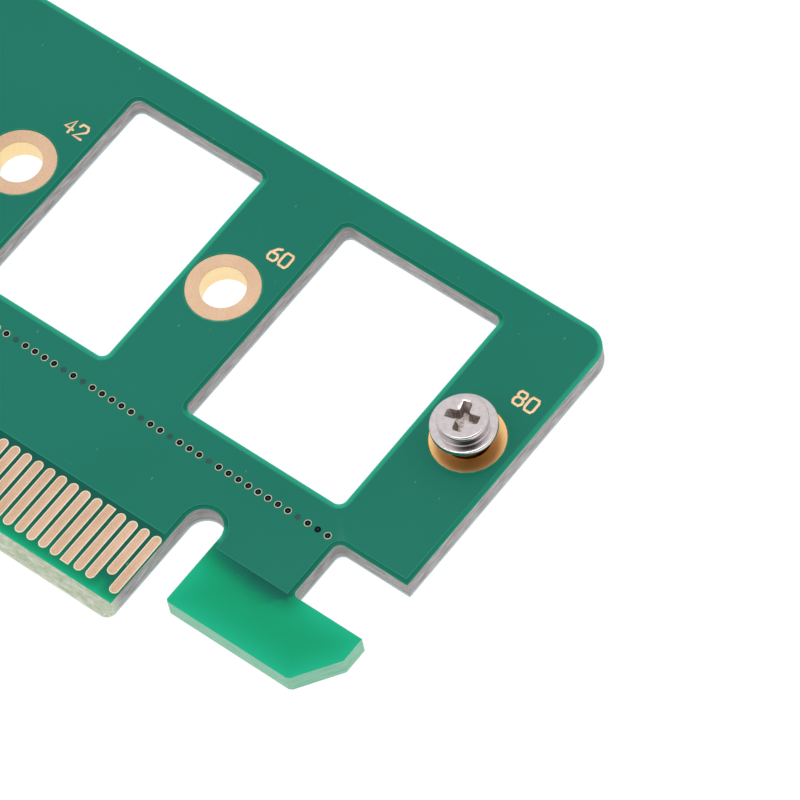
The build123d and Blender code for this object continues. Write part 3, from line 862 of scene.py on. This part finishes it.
# The module screw
# A nickel-plated M2 screw with its washer pressed on under a round head. The cross recess is stamped, so its
# mouth is rolled over and its flanks are rough; they are drawn darker and brownish as painted shade in the
# hollow.
FLANGE_RADIUS = 2.27
FLANGE_THICKNESS = 0.42
HEAD_RADIUS = 1.72
HEAD_HEIGHT = 0.85
HEAD_ROUND = 0.12
HEAD_FILLET = 0.06
FLANGE_ROUND = ((0.09, 0), (0.025, 0.04), (0, 0.1))
FLANGE_CHAMFER = 0.08
SHANK_LENGTH = 3.0
SHANK_RADIUS = 0.97
SHANK_CHAMFER = 0.15
RECESS_SPAN = 2.3
RECESS_ARM = 0.66
RECESS_CORNER = 0.2
RECESS_ARM_ROUND = 0.08
RECESS_DEPTH = 0.8
RECESS_FLOOR_SHARE = 0.62
RECESS_TURN = 17
MOUTH_ROUND = 0.035
RECESS_SCORE = (0.2381, 0.2381, 1.6667)
RECESS_SHADE_TONES = ("#8E807A", "#D2C6C0")


def recess_shade_material():
    """Stamped steel in the recess: scored, and drawn brown-grey and darker than the head as painted shade in
    the hollow.
    """
    material, tree, place = new_material("stamped recess steel in painted shade")
    drawn = add_node(tree, "Mapping", {"Scale": scales(RECESS_SCORE)}, {"Vector": place})
    scores = add_node(tree, "TexNoise", {"Scale": 1.0, "Detail": 3.0}, {"Vector": drawn})
    tone = add_node(tree, "ValToRGB", links={"Fac": scores}, stops=zip((0.35, 0.7), RECESS_SHADE_TONES))
    relief = add_node(tree, "Bump", {"Strength": 0.7, "Distance": 0.06 * MM}, {"Height": scores})
    close_material(tree, {"Metallic": 0.7, "Roughness": 0.4}, {"Base Color": tone, "Normal": relief})
    return material


def recess_cutter(head_top):
    """The cross: a square core with an arm drawn out of each side, wider at its mouth than at its floor."""
    shape = bmesh.new()
    core = bmesh.ops.create_cube(shape, size=1.0)["verts"]
    bmesh.ops.scale(shape, verts=core, vec=(RECESS_ARM * MM, RECESS_ARM * MM, 2 * RECESS_DEPTH * MM))
    for side in [f for f in shape.faces if abs(f.normal.z) < 0.5]:
        outward = side.normal.copy()
        arm = bmesh.ops.extrude_discrete_faces(shape, faces=[side])["faces"]
        bmesh.ops.translate(shape, verts=arm[0].verts[:], vec=outward * (RECESS_SPAN - RECESS_ARM) / 2 * MM)
    for end, share in ((-1, RECESS_FLOOR_SHARE), (1, 2 - RECESS_FLOOR_SHARE)):
        level = [v for v in shape.verts if v.co.z * end > 0]
        bmesh.ops.scale(shape, verts=level, vec=(share, share, 1))
    upright = [e for e in shape.edges if rise(e) > RECESS_DEPTH * MM]
    inner = [e for e in upright if flat(e.verts[0].co).length < RECESS_ARM * 1.4 * MM]
    bevel_edges(shape, inner, RECESS_CORNER, segments=4)
    outer = [e for e in shape.edges if rise(e) > RECESS_DEPTH * MM
             and flat(e.verts[0].co).length > RECESS_SPAN * 0.3 * MM]
    bevel_edges(shape, outer, RECESS_ARM_ROUND, segments=2)
    bmesh.ops.rotate(shape, verts=shape.verts, cent=(0, 0, 0),
                     matrix=Matrix.Rotation(math.radians(RECESS_TURN), 3, "Z"))
    bmesh.ops.translate(shape, verts=shape.verts, vec=on_card(BUSH_X, BUSH_Y, head_top))
    return finished_mesh("recess_cutter", shape)


def build_screw():
    seat = STANDOFF_HEIGHT
    flange_top = seat + FLANGE_THICKNESS
    head_top = flange_top + HEAD_HEIGHT
    tip = seat - SHANK_LENGTH
    angles = [math.pi / 8 * step for step in range(5)]
    head_edge = [(HEAD_RADIUS - HEAD_ROUND * (1 - math.sin(angle)),
                  head_top - HEAD_ROUND * (1 - math.cos(angle))) for angle in angles]
    profile = [
        (0, head_top), *head_edge, (HEAD_RADIUS, flange_top + HEAD_FILLET),
        (HEAD_RADIUS + HEAD_FILLET, flange_top),
        *[(FLANGE_RADIUS - inset, flange_top - drop) for inset, drop in FLANGE_ROUND],
        (FLANGE_RADIUS, seat + FLANGE_CHAMFER), (FLANGE_RADIUS - FLANGE_CHAMFER, seat), (SHANK_RADIUS, seat),
        (SHANK_RADIUS, tip + SHANK_CHAMFER), (SHANK_RADIUS - SHANK_CHAMFER, tip), (0, tip),
    ]
    shape = bmesh.new()
    turn(shape, profile, BUSH_X, BUSH_Y)
    nickel = grained_material("barrel-polished nickel plate", 0.38462, [(0.35, "#D3C9CA"), (0.65, "#DED5D6")],
                              {"Metallic": 1.0, "Roughness": 0.16}, detail=3.0, relief=0.06)
    stamped = recess_shade_material()
    piece = new_piece("nickel_screw", shape, nickel)
    piece.data.materials.append(stamped)
    cutter_mesh = recess_cutter(head_top)
    cutter_mesh.materials.append(nickel)
    cutter_mesh.materials.append(stamped)
    cutter_mesh.polygons.foreach_set("material_index", [1] * len(cutter_mesh.polygons))
    cutter = add_object("recess_cutter", cutter_mesh)
    cut = piece.modifiers.new("recess", "BOOLEAN")
    cut.object = cutter
    cut.operation = "DIFFERENCE"
    cut.solver = "EXACT"
    finished = bpy.data.meshes.new_from_object(piece.evaluated_get(bpy.context.evaluated_depsgraph_get()))
    piece.modifiers.clear()
    piece.data = finished
    bpy.data.objects.remove(cutter)
    shape = bmesh.new()
    shape.from_mesh(finished)
    bmesh.ops.remove_doubles(shape, verts=shape.verts, dist=1e-7)
    bmesh.ops.dissolve_limit(shape, angle_limit=math.radians(0.5), verts=shape.verts, edges=shape.edges,
                             delimit={"MATERIAL"})
    mouth = [e for e in shape.edges if len({f.material_index for f in e.link_faces}) == 2]
    bevel_edges(shape, mouth, MOUTH_ROUND, segments=3)
    shape.to_mesh(finished)
    shape.free()
    smooth_by_area(piece, 32)
    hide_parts("module_screw")


build_screw()


# The module socket
# A black moulded housing with two rows of gold-flashed spring strips, soldered to tinned pads by their feet,
# and a folded metal tab at each end that holds it down.
SOCKET_EDGE = 0.07
PIN_PITCH = 0.5
UPPER_PINS = 38
LOWER_PINS = 37
KEY_Y = -6.125
KEY_PINS = 4
SHARP_ANGLE = 40
SEAT_LEVEL = 0.06
PAD_SINK = 0.01
PAD_EDGE = 0.01
PAD_MARGIN = 0.25
PAD_WIDTH = 0.3
FOOT_BEAD = (0.12, 0.2, 0.02, 0.13, 0.05)
TAB_BEAD = (0.15, 0.25, 0.1, 0.17, 0.07)
TAB_PAD_OUT = 0.15
TAB_PAD_IN = 0.95
FLOW_STREAK = (1.1111, 8.3333, 1.1111)
PLASTIC_GRAIN = 0.2


def socket_plastic_material():
    """Glass-filled liquid-crystal polymer: black, slightly grainy, with faint flow streaks."""
    material, tree, place = new_material("moulded black polymer")
    drawn = add_node(tree, "Mapping", {"Scale": scales(FLOW_STREAK)}, {"Vector": place})
    flow = add_node(tree, "TexNoise", {"Scale": 1.0, "Detail": 4.0}, {"Vector": drawn})
    grain = add_node(tree, "TexNoise", {"Scale": 1 / (PLASTIC_GRAIN * MM), "Detail": 2.0}, {"Vector": place})
    tone = add_node(tree, "ValToRGB", links={"Fac": flow}, stops=[(0.3, "#141415"), (0.7, "#232324")])
    relief = add_node(tree, "Bump", {"Strength": 0.3, "Distance": 0.01 * MM}, {"Height": grain})
    close_material(tree, {"Roughness": 0.48, "IOR": 1.5}, {"Base Color": tone, "Normal": relief})
    return material


def rounded_copy(name, node, material, width, segments=2):
    """A CAD node's own shape with its sharp edges broken, as a moulded or plated piece has them."""
    shape = merged_copy(node)
    bevel_edges(shape, sharp_edges(shape, SHARP_ANGLE), width, segments)
    piece = new_piece(name, shape, material, smooth_angle=30)
    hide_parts(node)


def add_bead(shape, low, high, edge):
    """A low solder bead between two corners, with its upper edges rounded."""
    made = bmesh.ops.create_cube(shape, size=1.0)["verts"]
    bmesh.ops.scale(shape, verts=made, vec=[abs(b - a) * MM for a, b in zip(low, high)])
    bmesh.ops.translate(shape, verts=made, vec=on_card(*[(a + b) / 2 for a, b in zip(low, high)]))
    top = max(v.co.z for v in made)
    upper = {e for v in made for e in v.link_edges if max(w.co.z for w in e.verts) > top - 1e-7}
    bevel_edges(shape, upper, edge, segments=2)


def add_pad(shape, xs, ys):
    """A flat tinned pad on the board."""
    add_bead(shape, (xs[0], ys[0], COPPER_TOP - PAD_SINK), (xs[1], ys[1], SEAT_LEVEL), PAD_EDGE)


def add_joint(shape, end, outward, wall, ys, bead):
    """The pad from past a foot's end to the housing's wall, and the solder that has run round the foot."""
    ahead, behind, inset, top, edge = bead
    add_pad(shape, (end + outward * PAD_MARGIN, wall), ys)
    add_bead(shape, (end + outward * ahead, ys[0] + inset, COPPER_TOP),
             (end - outward * behind, ys[1] - inset, top), edge)


def card_box(node):
    """The two corners of a CAD node's box, in the card's own millimetres."""
    return [(corner - card_origin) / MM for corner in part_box(node)]


def pin_ys(count):
    ys = [(step - (count - 1) / 2) * PIN_PITCH for step in range(count)]
    return [y for y in ys if abs(y - KEY_Y) >= KEY_PINS * PIN_PITCH / 2]


def build_socket():
    moulded = socket_plastic_material()
    rounded_copy("socket_moulding", "socket_housing", moulded, SOCKET_EDGE)
    strip = grained_material("gold-flashed spring strip", 0.33333, [(0.35, "#C79A52"), (0.65, "#E2BE7E")],
                             {"Metallic": 1.0, "Roughness": 0.3})
    for row in ("upper", "lower"):
        rounded_copy(row + "_strips", "socket_%s_contacts" % row, strip, 0.02, segments=1)
    rounded_copy("hold_down_tabs", "socket_hold_downs", tin, 0.04, segments=1)

    solder = bmesh.new()
    (rear, *_), (front, *_) = card_box("socket_housing")
    upper_end = card_box("socket_upper_contacts")[0].x
    lower_end = card_box("socket_lower_contacts")[1].x
    tab_low, tab_high = card_box("socket_hold_downs")
    for count, end, outward, wall in ((UPPER_PINS, upper_end, -1, rear), (LOWER_PINS, lower_end, 1, front)):
        for y in pin_ys(count):
            add_joint(solder, end, outward, wall, (y - PAD_WIDTH / 2, y + PAD_WIDTH / 2), FOOT_BEAD)
    for side in (-1, 1):
        ys = sorted((side * (tab_high.y + TAB_PAD_OUT), side * (tab_high.y - TAB_PAD_IN)))
        add_joint(solder, tab_low.x, -1, rear, ys, TAB_BEAD)
    new_piece("socket_solder", solder, tin, smooth_angle=50)


tin = grained_material("reflowed tin", 0.45455, [(0.35, "#B4B6B8"), (0.65, "#D8DADB")],
                       {"Metallic": 1.0, "Roughness": 0.3}, detail=3.0, relief=0.25)
build_socket()


# The chip parts
# Two supply capacitors, two smaller ones, two resistors and a lamp, each soldered by its tinned ends. The
# solder climbs each end in a hollow curve.
CHIP_X = -11.5
CHIP_SIZES = {"bulk": (3.2, 1.6, 1.4), "bypass": (1.6, 0.8, 0.8), "resistor": (1.6, 0.8, 0.45),
              "lamp": (2.0, 1.25, 0.35)}
CHIP_YS = {"bulk": (7.4, 4.2), "bypass": (1.6, -0.4), "resistor": (-2.4, -4.4), "lamp": (-7.4,)}
FILM_SHARE = 0.75
FILLET_FOOT = SEAT_LEVEL - 0.01
FILLET_WIDTH_SHARE = 0.94
FILLET_HEIGHT_SHARE = 0.62
FILLET_HOLLOW = 1.8
FILLET_TIP = 0.04
CHIP_PAD_MARGIN = 0.1
CHIP_PAD_UNDER = 0.2


def resistor_material():
    """A black glass-coated film on white ceramic."""
    material, tree, place = new_material("resistor film")
    height = add_node(tree, "SeparateXYZ", links={"Vector": place})
    level = on_card(0, 0, SEAT_LEVEL + CHIP_SIZES["resistor"][2] * FILM_SHARE).z
    upper = add_node(tree, "Math", {"operation": "GREATER_THAN", 1: level}, {0: height.outputs["Z"]})
    tone = add_node(tree, "ValToRGB", links={"Fac": upper}, stops=[(0.4, "#D8D5CC"), (0.6, "#17171A")])
    close_material(tree, {"Roughness": 0.25}, {"Base Color": tone})
    return material


def add_fillet(shape, x, y, outward, width, height, reach):
    """Solder at one end of a chip: a wedge whose slope is hollow, made by pulling down a row of cuts."""
    made = bmesh.ops.create_cube(shape, size=1.0)["verts"]
    bmesh.ops.scale(shape, verts=made, vec=(reach * MM, width * MM, height * MM))
    bmesh.ops.translate(shape, verts=made, vec=on_card(x + outward * reach / 2, y, FILLET_FOOT + height / 2))
    end_x = on_card(x, y).x
    faces = {f for v in made for f in v.link_faces}
    edges = {e for f in faces for e in f.edges}
    for share in (0.25, 0.5, 0.75):
        place = (end_x + outward * reach * share * MM, 0, 0)
        cut = bmesh.ops.bisect_plane(shape, geom=made + list(edges) + list(faces), plane_co=place,
                                     plane_no=(1, 0, 0), dist=1e-8)["geom"]
        made = [g for g in cut if isinstance(g, bmesh.types.BMVert)]
        edges = {g for g in cut if isinstance(g, bmesh.types.BMEdge)}
        faces = {g for g in cut if isinstance(g, bmesh.types.BMFace)}
    low = on_card(0, 0, FILLET_FOOT).z
    for vert in made:
        if vert.co.z > low + SAME_LEVEL:
            out = min(1.0, abs(vert.co.x - end_x) / (reach * MM))
            vert.co.z = low + (vert.co.z - low) * max(FILLET_TIP, (1 - out) ** FILLET_HOLLOW)


def build_chips():
    ceramic = grained_material("fired capacitor ceramic", 0.25, [(0.35, "#8A6C4A"), (0.65, "#A28460")],
                               {"Roughness": 0.45}, detail=3.0)
    base = grained_material("white lamp base", 0.33333, [(0.3, "#DAD8CE"), (0.7, "#EDEBE2")],
                            {"Roughness": 0.5})
    lens = grained_material("clear lamp resin", 0.66667, [(0.3, "#D9D49A"), (0.7, "#F0EEC8")],
                            {"Roughness": 0.08, "Transmission Weight": 0.5, "IOR": 1.5})
    for kind in ("bulk", "bypass"):
        rounded_copy(kind + "_ceramics", kind + "_capacitor_bodies", ceramic, 0.05)
        rounded_copy(kind + "_caps", kind + "_capacitor_ends", tin, 0.07)
    rounded_copy("resistor_films", "resistor_bodies", resistor_material(), 0.03)
    rounded_copy("resistor_caps", "resistor_ends", tin, 0.05)
    rounded_copy("lamp_board", "lamp_base", base, 0.02)
    rounded_copy("lamp_caps", "lamp_ends", tin, 0.03)
    rounded_copy("lamp_dome", "lamp_lens", lens, 0.05)
    solder = bmesh.new()
    for kind, ys in CHIP_YS.items():
        length, width, height = CHIP_SIZES[kind]
        reach = 0.2 + height * 0.3
        pad_half = width / 2 + CHIP_PAD_MARGIN
        for y in ys:
            for outward in (-1, 1):
                x = CHIP_X + outward * length / 2
                add_fillet(solder, x, y, outward, width * FILLET_WIDTH_SHARE,
                           height * FILLET_HEIGHT_SHARE, reach)
                xs = (x - outward * length * CHIP_PAD_UNDER, x + outward * (reach + CHIP_PAD_MARGIN))
                add_pad(solder, xs, (y - pad_half, y + pad_half))
    bmesh.ops.recalc_face_normals(solder, faces=solder.faces)
    new_piece("chip_solder", solder, tin, smooth_angle=40)


build_chips()
